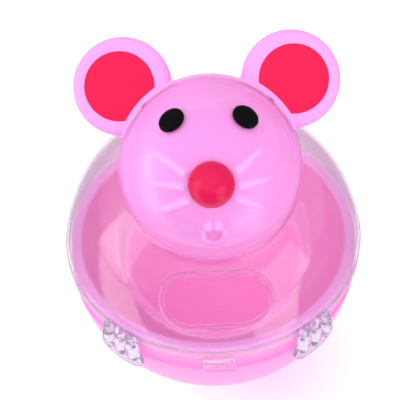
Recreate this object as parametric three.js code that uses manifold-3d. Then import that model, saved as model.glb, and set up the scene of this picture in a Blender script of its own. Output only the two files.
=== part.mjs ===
// Mouse-shaped roly-poly treat toy: a weighted ball base with a food bowl, under a clear hinged
// cover whose upper ball is the mouse's head. Millimetres, +Z up, the mouse looks along -Y.
// The origin is the middle of the small flat face that the toy rests on.

import * as THREE from 'three';
import { mergeVertices } from 'three/addons/utils/BufferGeometryUtils.js';
import Module from 'manifold-3d';

const wasm = await Module();
wasm.setup();

const degrees = THREE.MathUtils.degToRad;

// ---- Driving dimensions -------------------------------------------------------------------

const GAP = 0.3;                 // clearance between pieces that touch
const ROUND = 36;                // facets round the large turned shapes
const FINE_STEP = 10;            // degrees between the points of a large arc
const SMALL_ROUND = 12;          // facets round the small turned shapes
const EAR_ROUND = 28;
const BEYOND = 60;               // further out than any point of the ball or head

const BALL_R = 46;               // outside of the clear cover's lower ball
const BALL_Z = 42.4;             // height of the ball's centre over the resting face
const COVER_WALL = 0.8;
const HEAD_R = 26.5;             // outside of the clear cover's upper ball
const HEAD_RISE = 50.5;          // from the ball's centre up to the head's centre
const HEAD_LEAN = 11.4;          // from the ball's centre forward to the head's centre
const NECK_FILLET = 4;           // hollow radius between the two balls

const FLANGE_R = 45.9;           // band round the cover's open edge
const FLANGE_BOTTOM = 1.8;       // heights from here on are from the ball's centre
const FLANGE_TOP = 5.9;

const BASE_R = 45;
const BASE_WALL = 2;
const BASE_FLOOR = 2.6;
const LIP_TOP = -4.6;            // top edge of the base's full radius, below the finger groove
const COLLAR_R = 43.8;           // the base's upper ring, inside the cover's band
const COLLAR_INNER_R = 42.8;
const COLLAR_TOP = 3.2;

const RIM_R = 44.1;              // the bowl's flat rim
const RIM_TOP = 5;
const RIM_BOTTOM = COLLAR_TOP + GAP;
const RIM_EDGE = 0.4;
const BOWL_R = 41;
const BOWL_DEPTH = 34;
const BOWL_WALL = 1.5;
const BOWL_FLOOR_R = 17;

const WEIGHT_TOP = -32;
const WEIGHT_ROUND = 32;
const SCREW_CIRCLE_R = 9.5;
const SCREW_R = 1.1;
const SCREW_HEAD_R = 2.3;
const SCREW_HEAD_HEIGHT = 1;
const SCREW_LENGTH = 9;

const OUTLET_TILT = 29.5;        // degrees above level that the treat outlet faces
const OUTLET_WIDTH = 31;
const OUTLET_HEIGHT = 15.4;
const BEAD_WIDTH = 33.8;
const BEAD_HEIGHT = 19;
const BEAD_RISE = 0.8;
const BEAD_STEP = 6;             // degrees between the points of the bead's curved faces

const HINGE_Y = 50;
const HINGE_Z = FLANGE_BOTTOM;
const KNUCKLE_R = 3.1;
const KNUCKLE_HALF = 5.6;
const LUG_INNER_X = 6;
const LUG_OUTER_X = 9.5;
const PIN_R = 1.2;
const PIN_HEAD_R = 2;
const PIN_HEAD_HEIGHT = 1;
const WEB_OPENING = 70;          // degrees of the barrel either side that the web covers

const TAB_WIDTH = 9.4;
const TAB_INNER_Y = -(BASE_R + 0.25);
const TAB_OUTER_Y = -46.4;
const TAB_TOP = FLANGE_BOTTOM - GAP;
const TAB_BOTTOM = -3.8;
const TAB_CORNER = 1;
const GRIP_R = 0.6;              // finger bar across the tab
const GRIP_RISE = 1.2;           // from the tab's bottom edge to the bar
const BARB_TOP = -0.7;
const BARB_BOTTOM = -1.9;
const BARB_REACH = 0.8;          // how far the barb goes in past the base's full radius
const CATCH_CLEARANCE = 0.5;

const PAW_AZIMUTH = 39;          // degrees from the front
const TOE_STEP = 5.3;            // degrees from one toe to the next
const TOE_R = 2.3;
const TOE_LENGTH = 13.5;
const TOE_PATH_R = 46.4;
const PAW_CLEARANCE_R = FLANGE_R + GAP;
const PEG_R = 1.2;
const PEG_TILT = 5.6;            // degrees above level
const PAD_OUTER_R = 47.4;        // the thin pad that joins the toes, bent round the ball
const PAD_WIDTH = 15.4;
const PAD_HEIGHT = 10;
const PAD_TILT = -6.5;           // degrees above level
const PAW_STEP = 6;              // degrees between the points of the balls that bound a paw

const LINER_R = 25.2;            // coloured half-ball inside the head
const LINER_WALL = 1.4;
const LINER_SKIRT = 1.8;
const LINER_ROUND = 28;

const FACE_TILT = 49.3;          // degrees above level that the ears and whiskers face
const EAR_R = 14.1;
const EAR_X = 24;
const EAR_UP = 23.7;
const EAR_FRONT = 5.4;
const EAR_BACK = -0.6;
const EAR_EDGE = 1.3;            // rounding of the ear's edge
const EAR_SCREW_R = 0.9;
const EAR_SCREW_HEAD_R = 1.9;
const EAR_SCREW_HEAD_HEIGHT = 1;
const EAR_SCREW_HEAD_AT = 22;   // distances of the ear screw's ends from the head's centre
const EAR_SCREW_TIP = 33;
const EAR_SCREW_LIFT = 2.1;      // height of the screw's aim over the ear's back
const INSERT_R = 10;
const INSERT_DEPTH = 1.3;
const INSERT_OUT = 0.8;          // the inlay's centre is this much further out than the ear's
const INSERT_HEAD_R = 27.3;      // round cut of the insert along the head

const NOSE_TILT = 38.4;
const NOSE_R = 6.5;
const NOSE_RISE = 6.3;
const NOSE_POWER = 1.75;         // 2 is a round dome, less is more pointed
const STEM_R = 1.5;
const STEM_END = 20.8;           // distance of the stem's inner end from the head's centre
const CLIP_R = 4;
const CLIP_AT = 21.8;
const CLIP_THICKNESS = 1;

const EYE_R = 3.85;
const EYE_RISE = 1.2;
const EYE_STEM_R = 1;
const EYE_STEM_END = 22.8;
const EYE_EDGE = 0.4;            // upright edge of the eye under its dome
const EYE_X = 0.384;             // sideways part of the eye's direction from the head's centre
const EYE_TILT = 81.6;           // degrees round the head from level front
const BORE_NEAR = 15;            // the head's bores run between these distances from its centre
const BORE_FAR = 30;

// ---- Solids -------------------------------------------------------------------------------

// Turns a closed geometry into a solid that can be cut and joined.
function toSolid(geometry) {
  const bare = geometry.clone();
  bare.deleteAttribute('normal');
  bare.deleteAttribute('uv');
  const merged = mergeVertices(bare, 1e-4);
  const corners = merged.index.array;
  const triVerts = [];
  for (let i = 0; i < corners.length; i += 3) {
    const [a, b, c] = [corners[i], corners[i + 1], corners[i + 2]];
    if (a !== b && b !== c && c !== a) triVerts.push(a, b, c);
  }
  return new wasm.Manifold(new wasm.Mesh({
    numProp: 3,
    vertProperties: new Float32Array(merged.attributes.position.array),
    triVerts: new Uint32Array(triVerts),
  }));
}

function toGeometry(solid) {
  const mesh = solid.getMesh();
  const geometry = new THREE.BufferGeometry();
  geometry.setAttribute('position', new THREE.BufferAttribute(mesh.vertProperties, 3));
  geometry.setIndex(new THREE.BufferAttribute(mesh.triVerts, 1));
  geometry.computeVertexNormals();
  return geometry;
}

const join = (...solids) => solids.reduce((whole, piece) => whole.add(piece));
const cut = (whole, ...tools) => tools.reduce((rest, tool) => rest.subtract(tool), whole);

// Points of an arc in a turning profile: x is the radius, y the height, angles from the top.
function arc(centreX, centreY, radius, from, to, step = FINE_STEP) {
  const count = Math.max(2, Math.round(Math.abs(to - from) / step));
  return Array.from({ length: count + 1 }, (_, i) => {
    const angle = degrees(from + ((to - from) * i) / count);
    const x = centreX + radius * Math.sin(angle);
    return new THREE.Vector2(Math.abs(x) < 1e-6 ? 0 : x, centreY + radius * Math.cos(angle));
  });
}

const point = (radius, height) => new THREE.Vector2(radius, height);

// A profile listed from the bottom, up the outside and back, turned about Z.
function turned(profile, segments = ROUND) {
  const geometry = new THREE.LatheGeometry(profile, segments);
  geometry.rotateX(Math.PI / 2);
  return geometry;
}

const turnedSolid = (profile, segments) => toSolid(turned(profile, segments));

const ball = (radius, step) => turnedSolid(arc(0, 0, radius, 180, 0, step));

// A rod about Z between two heights.
function rod(radius, low, high, segments = SMALL_ROUND) {
  const profile = [point(0, low), point(radius, low), point(radius, high), point(0, high)];
  return turnedSolid(profile, segments);
}

function box(lowX, highX, lowY, highY, lowZ, highZ) {
  const geometry = new THREE.BoxGeometry(highX - lowX, highY - lowY, highZ - lowZ);
  geometry.translate((lowX + highX) / 2, (lowY + highY) / 2, (lowZ + highZ) / 2);
  return toSolid(geometry);
}

// Carries a shape made about Z from the head's or ball's centre to a direction: tilt is in
// degrees above level, turn in degrees from the front towards +X.
function facing(tilt, turn = 0) {
  const matrix = new THREE.Matrix4().makeRotationZ(degrees(turn));
  return matrix.multiply(new THREE.Matrix4().makeRotationX(degrees(90 - tilt)));
}

const place = (solid, matrix) => solid.transform(matrix.elements);
const shifted = (x, y, z) => new THREE.Matrix4().makeTranslation(x, y, z);

// A rod along a direction from the origin, between two distances.
const rodTo = (matrix, radius, near, far, segments) =>
  place(rod(radius, near, far, segments), matrix);

// ---- Frames -------------------------------------------------------------------------------

const LEAN = Math.atan2(HEAD_LEAN, HEAD_RISE);
const HEAD_SPAN = Math.hypot(HEAD_LEAN, HEAD_RISE);
const leaning = new THREE.Matrix4().makeRotationX(LEAN);
const headAt = shifted(0, -HEAD_LEAN, HEAD_RISE);
const faceFrame = facing(FACE_TILT);

function directionFrame(x, y, z) {
  const turn = new THREE.Quaternion().setFromUnitVectors(
    new THREE.Vector3(0, 0, 1),
    new THREE.Vector3(x, y, z).normalize(),
  );
  return new THREE.Matrix4().makeRotationFromQuaternion(turn);
}

const sides = { left: -1, right: 1 };
const noseFrame = facing(NOSE_TILT);

function eyeFrame(side) {
  const forward = Math.sqrt(1 - EYE_X * EYE_X);
  const tilt = degrees(EYE_TILT);
  return directionFrame(side * EYE_X, -forward * Math.cos(tilt), forward * Math.sin(tilt));
}

function earScrewFrame(side) {
  const aim = new THREE.Vector3(side * EAR_X, EAR_UP, EAR_SCREW_LIFT).applyMatrix4(faceFrame);
  return directionFrame(aim.x, aim.y, aim.z);
}

// ---- Cover --------------------------------------------------------------------------------

// Outline of the two balls and the hollow between them, moved inwards by inset.
function gourd(inset) {
  const low = BALL_R - inset;
  const high = HEAD_R - inset;
  const hollow = NECK_FILLET + inset;
  const centreY = (HEAD_SPAN ** 2 + (low + hollow) ** 2 - (high + hollow) ** 2) / (2 * HEAD_SPAN);
  const centreX = Math.sqrt((low + hollow) ** 2 - centreY ** 2);
  const lowAngle = THREE.MathUtils.radToDeg(Math.atan2(centreX, centreY));
  const highAngle = THREE.MathUtils.radToDeg(Math.atan2(centreX, centreY - HEAD_SPAN));
  return place(turnedSolid([
    ...arc(0, 0, low, 180, lowAngle),
    ...arc(centreX, centreY, hollow, lowAngle + 180, highAngle + 180, 20).slice(1, -1),
    ...arc(0, HEAD_SPAN, high, highAngle, 0),
  ]), leaning);
}

// A flat-sided stadium bar about Z, long in X.
function stadium(width, height, near, far) {
  const radius = height / 2;
  const shape = new THREE.Shape();
  shape.absarc(width / 2 - radius, 0, radius, -Math.PI / 2, Math.PI / 2);
  shape.absarc(radius - width / 2, 0, radius, Math.PI / 2, (3 * Math.PI) / 2);
  const geometry = new THREE.ExtrudeGeometry(shape, {
    depth: far - near, bevelEnabled: false, curveSegments: 10,
  });
  geometry.translate(0, 0, near);
  return toSolid(geometry);
}

// A bar of round section along a curve that lies on the head.
function ridge(points, radius) {
  const curve = new THREE.CatmullRomCurve3(points);
  const section = new THREE.Shape().absarc(0, 0, radius, 0, 2 * Math.PI);
  return toSolid(new THREE.ExtrudeGeometry(section, {
    extrudePath: curve, steps: 6, bevelEnabled: false, curveSegments: 4,
  }));
}

// A point on the head's surface, from its sideways and upward place in the face frame.
function onHead(x, up) {
  const out = Math.sqrt(HEAD_R ** 2 - x ** 2 - up ** 2);
  return new THREE.Vector3(x, up, out).applyMatrix4(faceFrame);
}

const WHISKER_R = 0.7;
const WHISKERS = [
  { outer: [16.5, 5.7], inner: [7.4, -1.5] },
  { outer: [19.1, -3.7], inner: [8.2, -5.6] },
  { outer: [16.2, -12.7], inner: [7, -9.6] },
];

function whisker(side, { outer, inner }) {
  const points = [0, 0.5, 1].map((t) => onHead(
    side * THREE.MathUtils.lerp(outer[0], inner[0], t),
    THREE.MathUtils.lerp(outer[1], inner[1], t),
  ));
  return ridge(points, WHISKER_R);
}

const TOOTH_R = 2;
const TOOTH_X = 1.75;
const MOUTH_X = 3.6;
const MOUTH_TILTS = [2, -9];
const MOUTH_RIDGE_R = 0.6;

// Two front teeth and the lip that runs round under them.
function mouth() {
  const teeth = [-1, 1].map((side) => {
    const geometry = new THREE.SphereGeometry(1, 10, 8);
    geometry.scale(TOOTH_R * 0.9, TOOTH_R * 1.3, TOOTH_R * 0.55);
    geometry.translate(side * TOOTH_X, 0, HEAD_R);
    return place(toSolid(geometry), facing(8));
  });
  const [top, bottom] = MOUTH_TILTS.map(degrees);
  const lip = Array.from({ length: 5 }, (_, i) => {
    const sweep = -Math.PI / 2 + (Math.PI * i) / 4;
    const x = MOUTH_X * Math.sin(sweep);
    const tilt = top + (bottom - top) * Math.cos(sweep);
    const out = Math.sqrt(HEAD_R ** 2 - x ** 2);
    return new THREE.Vector3(x, -out * Math.cos(tilt), out * Math.sin(tilt));
  });
  return join(...teeth, ridge(lip, MOUTH_RIDGE_R));
}

// Hinge barrel about X with a web that reaches to a wall point.
function hingeBarrel(lowX, highX, webPoints) {
  const shape = new THREE.Shape();
  const [from, to] = webPoints;
  const startAngle = Math.atan2(from[1] - HINGE_Z, from[0] - HINGE_Y);
  shape.moveTo(from[0], from[1]);
  const steps = 12;
  const open = degrees(WEB_OPENING);
  for (let i = 0; i <= steps; i += 1) {
    const angle = startAngle + open + ((2 * Math.PI - 2 * open) * i) / steps;
    shape.lineTo(HINGE_Y + KNUCKLE_R * Math.cos(angle), HINGE_Z + KNUCKLE_R * Math.sin(angle));
  }
  shape.lineTo(to[0], to[1]);
  shape.closePath();
  const geometry = new THREE.ExtrudeGeometry(shape, { depth: highX - lowX, bevelEnabled: false });
  geometry.applyMatrix4(new THREE.Matrix4().makeBasis(
    new THREE.Vector3(0, 1, 0),
    new THREE.Vector3(0, 0, 1),
    new THREE.Vector3(1, 0, 0),
  ));
  geometry.translate(lowX, 0, 0);
  return toSolid(geometry);
}

const hingeAxis = shifted(0, HINGE_Y, HINGE_Z).multiply(
  new THREE.Matrix4().makeRotationY(Math.PI / 2),
);
const hingeBore = rodTo(hingeAxis, PIN_R + GAP, -LUG_OUTER_X - 1, LUG_OUTER_X + 1, 16);

function pegFrame(side) {
  return facing(PEG_TILT, side * PAW_AZIMUTH);
}

function clearCover() {
  const outlet = facing(OUTLET_TILT);
  const bead = cut(
    place(stadium(BEAD_WIDTH, BEAD_HEIGHT, BALL_R - 5, BALL_R + 5), outlet)
      .intersect(ball(BALL_R + BEAD_RISE, BEAD_STEP)),
    ball(BALL_R - COVER_WALL / 2, BEAD_STEP),
  );
  const flange = turnedSolid([
    point(BALL_R - COVER_WALL, FLANGE_BOTTOM),
    point(FLANGE_R, FLANGE_BOTTOM),
    point(FLANGE_R, FLANGE_TOP),
    point(BALL_R - COVER_WALL, FLANGE_TOP),
    point(BALL_R - COVER_WALL, FLANGE_BOTTOM),
  ]);
  const face = join(
    ...Object.values(sides).flatMap((side) => WHISKERS.map((line) => whisker(side, line))),
    mouth(),
  );
  const skin = cut(
    join(gourd(0), place(face, headAt)),
    gourd(COVER_WALL),
    box(-BEYOND, BEYOND, -BEYOND, BEYOND, -BEYOND, FLANGE_BOTTOM),
  );
  const knuckle = cut(
    hingeBarrel(-KNUCKLE_HALF, KNUCKLE_HALF, [
      [BALL_R - COVER_WALL / 2, FLANGE_BOTTOM], [BALL_R - COVER_WALL / 2, FLANGE_TOP],
    ]),
    rod(BALL_R - COVER_WALL, -10, FLANGE_TOP + 5, ROUND),
  );
  return cut(
    join(skin, flange, bead, knuckle),
    rod(BALL_R - COVER_WALL, -10, FLANGE_TOP, ROUND),
    place(stadium(OUTLET_WIDTH, OUTLET_HEIGHT, BALL_R - 10, BALL_R + 10), outlet),
    hingeBore,
    ...headBores().map((bore) => place(bore, headAt)),
    ...Object.values(sides).map((side) => rodTo(pegFrame(side), PEG_R + GAP, 40, 50)),
  );
}

// Holes through the head for the nose, the eyes and the ear screws.
function headBores() {
  return [
    rodTo(noseFrame, STEM_R + GAP, BORE_NEAR, BORE_FAR),
    ...Object.values(sides).flatMap((side) => [
      rodTo(eyeFrame(side), EYE_STEM_R + GAP, BORE_NEAR, BORE_FAR, 10),
      rodTo(earScrewFrame(side), EAR_SCREW_R + GAP, BORE_NEAR, BORE_FAR, 10),
    ]),
  ];
}

// ---- Head ---------------------------------------------------------------------------------

function headLiner() {
  const shell = turnedSolid([
    ...arc(0, 0, LINER_R - LINER_WALL, 0, 90, 12),
    point(LINER_R - LINER_WALL, -LINER_SKIRT),
    point(LINER_R, -LINER_SKIRT),
    ...arc(0, 0, LINER_R, 90, 0, 12),
  ], LINER_ROUND);
  return cut(place(shell, leaning), ...headBores());
}

function ear(side) {
  const disc = turnedSolid([
    point(0, EAR_BACK),
    ...arc(EAR_R - EAR_EDGE, EAR_BACK + EAR_EDGE, EAR_EDGE, 180, 90, 30),
    ...arc(EAR_R - EAR_EDGE, EAR_FRONT - EAR_EDGE, EAR_EDGE, 90, 0, 30),
    point(0, EAR_FRONT),
  ], EAR_ROUND);
  const centred = place(disc, shifted(side * EAR_X, EAR_UP, 0));
  return cut(
    place(cut(centred, insertShape(side, 0)), faceFrame),
    ball(HEAD_R + GAP),
    rodTo(earScrewFrame(side), EAR_SCREW_R + GAP, 20, EAR_SCREW_TIP + GAP, 10),
  );
}

// The coloured inlay of an ear, or with inset 0 the pocket it sits in.
function insertShape(side, inset) {
  const bottom = EAR_FRONT - INSERT_DEPTH + inset;
  const top = inset > 0 ? EAR_FRONT - 0.2 : EAR_FRONT + 2;
  const centreX = side * (EAR_X + INSERT_OUT);
  return cut(
    place(rod(INSERT_R - inset, bottom, top, EAR_ROUND), shifted(centreX, EAR_UP, 0)),
    rod(INSERT_HEAD_R + inset, -5, EAR_FRONT + 5, ROUND),
  );
}

function screw(radius, headRadius, headHeight, length) {
  const body = turnedSolid([
    point(0, 0),
    point(headRadius * 0.8, 0),
    point(headRadius, headHeight * 0.4),
    point(headRadius, headHeight),
    point(radius, headHeight),
    point(radius, length - radius),
    point(radius * 0.3, length),
    point(0, length),
  ], 10);
  const slot = headRadius * 0.6;
  const width = headRadius * 0.12;
  const depth = headHeight * 0.45;
  return cut(
    body,
    box(-slot, slot, -width, width, -1, depth),
    box(-width, width, -slot, slot, -1, depth),
  );
}

function nose() {
  const rings = 6;
  const dome = Array.from({ length: rings + 1 }, (_, i) => {
    const part = Math.sin((Math.PI / 2) * (i / rings));
    const radius = NOSE_R * (1 - part ** NOSE_POWER) ** (1 / NOSE_POWER);
    return point(i === rings ? 0 : radius, HEAD_R + NOSE_RISE * part);
  });
  const cap = turnedSolid([point(0, HEAD_R - 1), point(NOSE_R, HEAD_R - 1), ...dome], 18);
  return join(cut(cap, ball(HEAD_R + GAP)), rod(STEM_R, STEM_END, HEAD_R + 1));
}

function noseClip() {
  const inner = STEM_R + GAP;
  const outer = CLIP_AT + CLIP_THICKNESS;
  return turnedSolid([
    point(inner, CLIP_AT),
    point(CLIP_R, CLIP_AT),
    point(CLIP_R, outer),
    point(inner, outer),
    point(inner, CLIP_AT),
  ], 20);
}

function eye() {
  const rings = 3;
  const dome = Array.from({ length: rings + 1 }, (_, i) => {
    const angle = (Math.PI / 2) * (i / rings);
    const radius = i === rings ? 0 : EYE_R * Math.cos(angle);
    return point(radius, HEAD_R + EYE_EDGE + (EYE_RISE - EYE_EDGE + GAP) * Math.sin(angle));
  });
  const button = turnedSolid([point(0, HEAD_R - 1), point(EYE_R, HEAD_R - 1), ...dome], 16);
  return join(cut(button, ball(HEAD_R + GAP)), rod(EYE_STEM_R, EYE_STEM_END, HEAD_R + 2 * EYE_EDGE, 10));
}

// ---- Paws and latch -----------------------------------------------------------------------

// A toe is a capsule bent round the ball, upright in front.
function toe() {
  const geometry = new THREE.CapsuleGeometry(TOE_R, TOE_LENGTH - 2 * TOE_R, 3, 10, 3);
  const places = geometry.attributes.position;
  for (let i = 0; i < places.count; i += 1) {
    const lift = places.getY(i) / TOE_PATH_R;
    const reach = TOE_PATH_R + places.getZ(i);
    places.setXYZ(i, places.getX(i), -reach * Math.cos(lift), reach * Math.sin(lift));
  }
  return toSolid(geometry);
}

function paw(side) {
  const toes = [-1, 0, 1].map((step) => {
    const turn = side * PAW_AZIMUTH + step * TOE_STEP;
    return place(toe(), new THREE.Matrix4().makeRotationZ(degrees(turn)));
  });
  const clearance = join(
    ball(PAW_CLEARANCE_R, PAW_STEP),
    rod(PAW_CLEARANCE_R, 0, FLANGE_TOP + GAP, 80),
  );
  const padFrame = facing(PAD_TILT, side * PAW_AZIMUTH);
  const pad = place(stadium(PAD_WIDTH, PAD_HEIGHT, PAW_CLEARANCE_R - 5, PAD_OUTER_R + 5), padFrame);
  return join(
    cut(join(...toes, pad.intersect(ball(PAD_OUTER_R, PAW_STEP))), clearance),
    rodTo(pegFrame(side), PEG_R, BALL_R - COVER_WALL + GAP, PAW_CLEARANCE_R + 1, 10),
  );
}

function latchTab() {
  const half = TAB_WIDTH / 2;
  const outline = new THREE.Shape();
  outline.moveTo(-half, TAB_TOP);
  outline.lineTo(-half, TAB_BOTTOM + TAB_CORNER);
  outline.absarc(-half + TAB_CORNER, TAB_BOTTOM + TAB_CORNER, TAB_CORNER, Math.PI, 1.5 * Math.PI);
  outline.absarc(half - TAB_CORNER, TAB_BOTTOM + TAB_CORNER, TAB_CORNER, 1.5 * Math.PI, 2 * Math.PI);
  outline.lineTo(half, TAB_TOP);
  outline.closePath();
  const plate = new THREE.ExtrudeGeometry(outline, {
    depth: TAB_INNER_Y - TAB_OUTER_Y, bevelEnabled: false, curveSegments: 4,
  });
  plate.rotateX(Math.PI / 2);
  plate.translate(0, TAB_INNER_Y, 0);
  const barb = box(
    1 - half, half - 1, TAB_INNER_Y - 0.1, BARB_REACH - BASE_R, BARB_BOTTOM, BARB_TOP,
  );
  const gripFrame = shifted(0, TAB_OUTER_Y, TAB_BOTTOM + GRIP_RISE).multiply(
    new THREE.Matrix4().makeRotationY(Math.PI / 2),
  );
  const grip = rodTo(gripFrame, GRIP_R, 1 - half, half - 1, 10);
  return join(toSolid(plate), barb, grip);
}

// ---- Base ---------------------------------------------------------------------------------

const angleAt = (radius, height) => THREE.MathUtils.radToDeg(Math.acos(height / radius));

function baseShell() {
  const innerR = BASE_R - BASE_WALL;
  const floorTop = BASE_FLOOR - BALL_Z;
  const shell = turnedSolid([
    point(0, -BALL_Z),
    ...arc(0, 0, BASE_R, angleAt(BASE_R, -BALL_Z), angleAt(BASE_R, LIP_TOP)),
    point(COLLAR_R, LIP_TOP),
    point(COLLAR_R, COLLAR_TOP),
    point(COLLAR_INNER_R, COLLAR_TOP),
    ...arc(0, 0, innerR, angleAt(innerR, -4), angleAt(innerR, floorTop)),
    point(0, floorTop),
  ]);
  const lugs = [-1, 1].map((side) => {
    const [lowX, highX] = [side * LUG_INNER_X, side * LUG_OUTER_X].sort((a, b) => a - b);
    return hingeBarrel(lowX, highX, [[BASE_R - 3, -10], [BASE_R - 1.5, LIP_TOP - 0.5]]);
  });
  const inside = ball(innerR + 0.2, 6);
  const catchPocket = box(
    -TAB_WIDTH / 2 - GAP, TAB_WIDTH / 2 + GAP, -BEYOND, CATCH_CLEARANCE - COLLAR_R,
    BARB_BOTTOM - CATCH_CLEARANCE, BARB_TOP + CATCH_CLEARANCE,
  );
  return cut(
    join(shell, ...lugs.map((lug) => cut(lug, inside))),
    hingeBore,
    catchPocket,
    ...screwPlaces.map(([x, y]) => place(join(
      rod(SCREW_HEAD_R + GAP, -1, SCREW_HEAD_HEIGHT + 2 * GAP, 14),
      rod(SCREW_R + GAP, 0, BASE_FLOOR + 1),
    ), shifted(x, y, -BALL_Z))),
  );
}

const screwPlaces = [0, 1, 2].map((i) => {
  const angle = degrees(90 + 120 * i);
  return [SCREW_CIRCLE_R * Math.cos(angle), SCREW_CIRCLE_R * Math.sin(angle)];
});

function bowlLiner() {
  const steps = 8;
  const floorAngle = Math.asin(BOWL_FLOOR_R / BOWL_R);
  const curve = (inset) => Array.from({ length: steps + 1 }, (_, i) => {
    const angle = floorAngle + ((Math.PI / 2 - floorAngle) * i) / steps;
    const radius = (BOWL_R + inset) * Math.sin(angle);
    return point(radius, RIM_TOP - (BOWL_DEPTH + inset) * Math.cos(angle));
  });
  const inner = curve(0).reverse();
  const outer = curve(BOWL_WALL).slice(0, -1);
  const floor = inner[steps].y;
  return turned([
    point(0, floor - BOWL_WALL),
    ...outer,
    point(BOWL_R + BOWL_WALL, RIM_BOTTOM),
    point(RIM_R, RIM_BOTTOM),
    point(RIM_R, RIM_TOP - RIM_EDGE),
    point(RIM_R - RIM_EDGE, RIM_TOP),
    ...inner,
    point(0, floor),
  ]);
}

function counterweight() {
  const reach = BASE_R - BASE_WALL - 2 * GAP;
  const bottom = BASE_FLOOR + GAP - BALL_Z;
  const disc = turnedSolid([
    point(0, bottom),
    ...arc(0, 0, reach, angleAt(reach, bottom), angleAt(reach, WEIGHT_TOP)),
    point(0, WEIGHT_TOP),
  ], WEIGHT_ROUND);
  return cut(disc, ...screwPlaces.map(([x, y]) => place(
    rod(SCREW_R + GAP, -5, 20), shifted(x, y, -BALL_Z),
  )));
}

function hingePin() {
  const headX = LUG_OUTER_X + GAP;
  const endX = headX + PIN_HEAD_HEIGHT;
  return turned([
    point(0, -endX),
    point(PIN_HEAD_R, -endX),
    point(PIN_HEAD_R, -headX),
    point(PIN_R, -headX),
    point(PIN_R, headX),
    point(PIN_HEAD_R, headX),
    point(PIN_HEAD_R, endX),
    point(0, endX),
  ], 14);
}

// ---- Materials ----------------------------------------------------------------------------

const material = (color, roughness, metalness = 0, extra = {}) =>
  new THREE.MeshStandardMaterial({ color, roughness, metalness, ...extra });

const pinkPlastic = material(0xfcaede, 0.35);
const clearPlastic = material(0xf2e4f8, 0.08, 0, { transparent: true, opacity: 0.35 });
const redPlastic = material(0xf02d5e, 0.2);
const blackPlastic = material(0x16161a, 0.25);
const steel = material(0xb9bcc2, 0.35, 1);

// ---- Assembly -----------------------------------------------------------------------------

function mesh(name, geometry, look) {
  const piece = new THREE.Mesh(geometry, look);
  piece.name = name;
  return piece;
}

// Sets a piece to the place and turn of a matrix.
function at(piece, matrix) {
  matrix.decompose(piece.position, piece.quaternion, piece.scale);
  return piece;
}

const baseScrew = screw(SCREW_R, SCREW_HEAD_R, SCREW_HEAD_HEIGHT, SCREW_LENGTH);
const earScrew = screw(
  EAR_SCREW_R, EAR_SCREW_HEAD_R, EAR_SCREW_HEAD_HEIGHT, EAR_SCREW_TIP - EAR_SCREW_HEAD_AT,
);

const toy = new THREE.Group();

const body = new THREE.Group();
body.position.z = BALL_Z;
toy.add(body);

body.add(mesh('base_shell', toGeometry(baseShell()), pinkPlastic));
body.add(mesh('bowl_liner', bowlLiner(), pinkPlastic));
body.add(mesh('counterweight', toGeometry(counterweight()), steel));
body.add(at(mesh('hinge_pin', hingePin(), steel), hingeAxis));
body.add(mesh('clear_cover', toGeometry(clearCover()), clearPlastic));
body.add(mesh('latch_tab', toGeometry(latchTab()), clearPlastic));

screwPlaces.forEach(([x, y], i) => {
  const screwAt = shifted(x, y, GAP - BALL_Z);
  body.add(at(mesh(`base_screw_${i + 1}`, toGeometry(baseScrew), steel), screwAt));
});

const head = new THREE.Group();
head.position.set(0, -HEAD_LEAN, HEAD_RISE);
body.add(head);

head.add(mesh('head_liner', toGeometry(headLiner()), pinkPlastic));
head.add(at(mesh('nose', toGeometry(nose()), redPlastic), noseFrame));
head.add(at(mesh('nose_clip', toGeometry(noseClip()), steel), noseFrame));

for (const [name, side] of Object.entries(sides)) {
  body.add(mesh(`paw_${name}`, toGeometry(paw(side)), clearPlastic));
  head.add(mesh(`ear_${name}`, toGeometry(ear(side)), pinkPlastic));
  head.add(at(mesh(`ear_insert_${name}`, toGeometry(insertShape(side, GAP)), redPlastic), faceFrame));
  head.add(at(mesh(`eye_${name}`, toGeometry(eye()), blackPlastic), eyeFrame(side)));
  const screwAt = earScrewFrame(side).multiply(shifted(0, 0, EAR_SCREW_HEAD_AT));
  head.add(at(mesh(`ear_screw_${name}`, toGeometry(earScrew), steel), screwAt));
}

export default toy;
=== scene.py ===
# Mouse-shaped roly-poly treat toy: fine shapes, materials, floor, light and camera around the
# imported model. A piece is made in millimetres and scaled to metres when it is finished. The
# stage, the lamps and the materials are in metres.
import math

import bmesh
import bpy
import numpy as np
from mathutils import Matrix, Vector


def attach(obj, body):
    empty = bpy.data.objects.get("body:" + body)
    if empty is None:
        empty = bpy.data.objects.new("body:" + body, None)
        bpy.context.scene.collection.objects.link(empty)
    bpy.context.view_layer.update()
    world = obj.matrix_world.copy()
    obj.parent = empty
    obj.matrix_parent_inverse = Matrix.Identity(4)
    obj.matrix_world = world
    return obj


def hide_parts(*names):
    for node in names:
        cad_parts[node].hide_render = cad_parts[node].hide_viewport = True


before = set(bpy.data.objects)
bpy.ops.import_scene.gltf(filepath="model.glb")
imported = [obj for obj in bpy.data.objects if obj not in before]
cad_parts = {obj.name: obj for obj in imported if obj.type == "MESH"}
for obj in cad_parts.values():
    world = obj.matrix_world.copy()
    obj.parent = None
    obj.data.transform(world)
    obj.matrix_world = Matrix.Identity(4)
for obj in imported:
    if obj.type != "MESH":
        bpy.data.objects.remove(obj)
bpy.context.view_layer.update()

MM = 0.001              # metres in a millimetre
GAP = 0.3               # clearance between separate pieces

# ---- Sizes ----
# Millimetres, heights from the ball's centre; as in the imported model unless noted.

BALL_R = 46.0
BALL_Z = 42.4
COVER_WALL = 0.8
HEAD_R = 26.5
HEAD_RISE = 50.5
HEAD_LEAN = 11.4
NECK_FILLET = 4.0
FLANGE_R = 45.9
FLANGE_BOTTOM = 1.8
FLANGE_TOP = 5.9

BASE_R = 45.0
BASE_WALL = 2.0
BASE_FLOOR = 2.6
LIP_TOP = -4.6
COLLAR_R = 43.8
COLLAR_INNER_R = 42.8
COLLAR_TOP = 3.2

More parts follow.
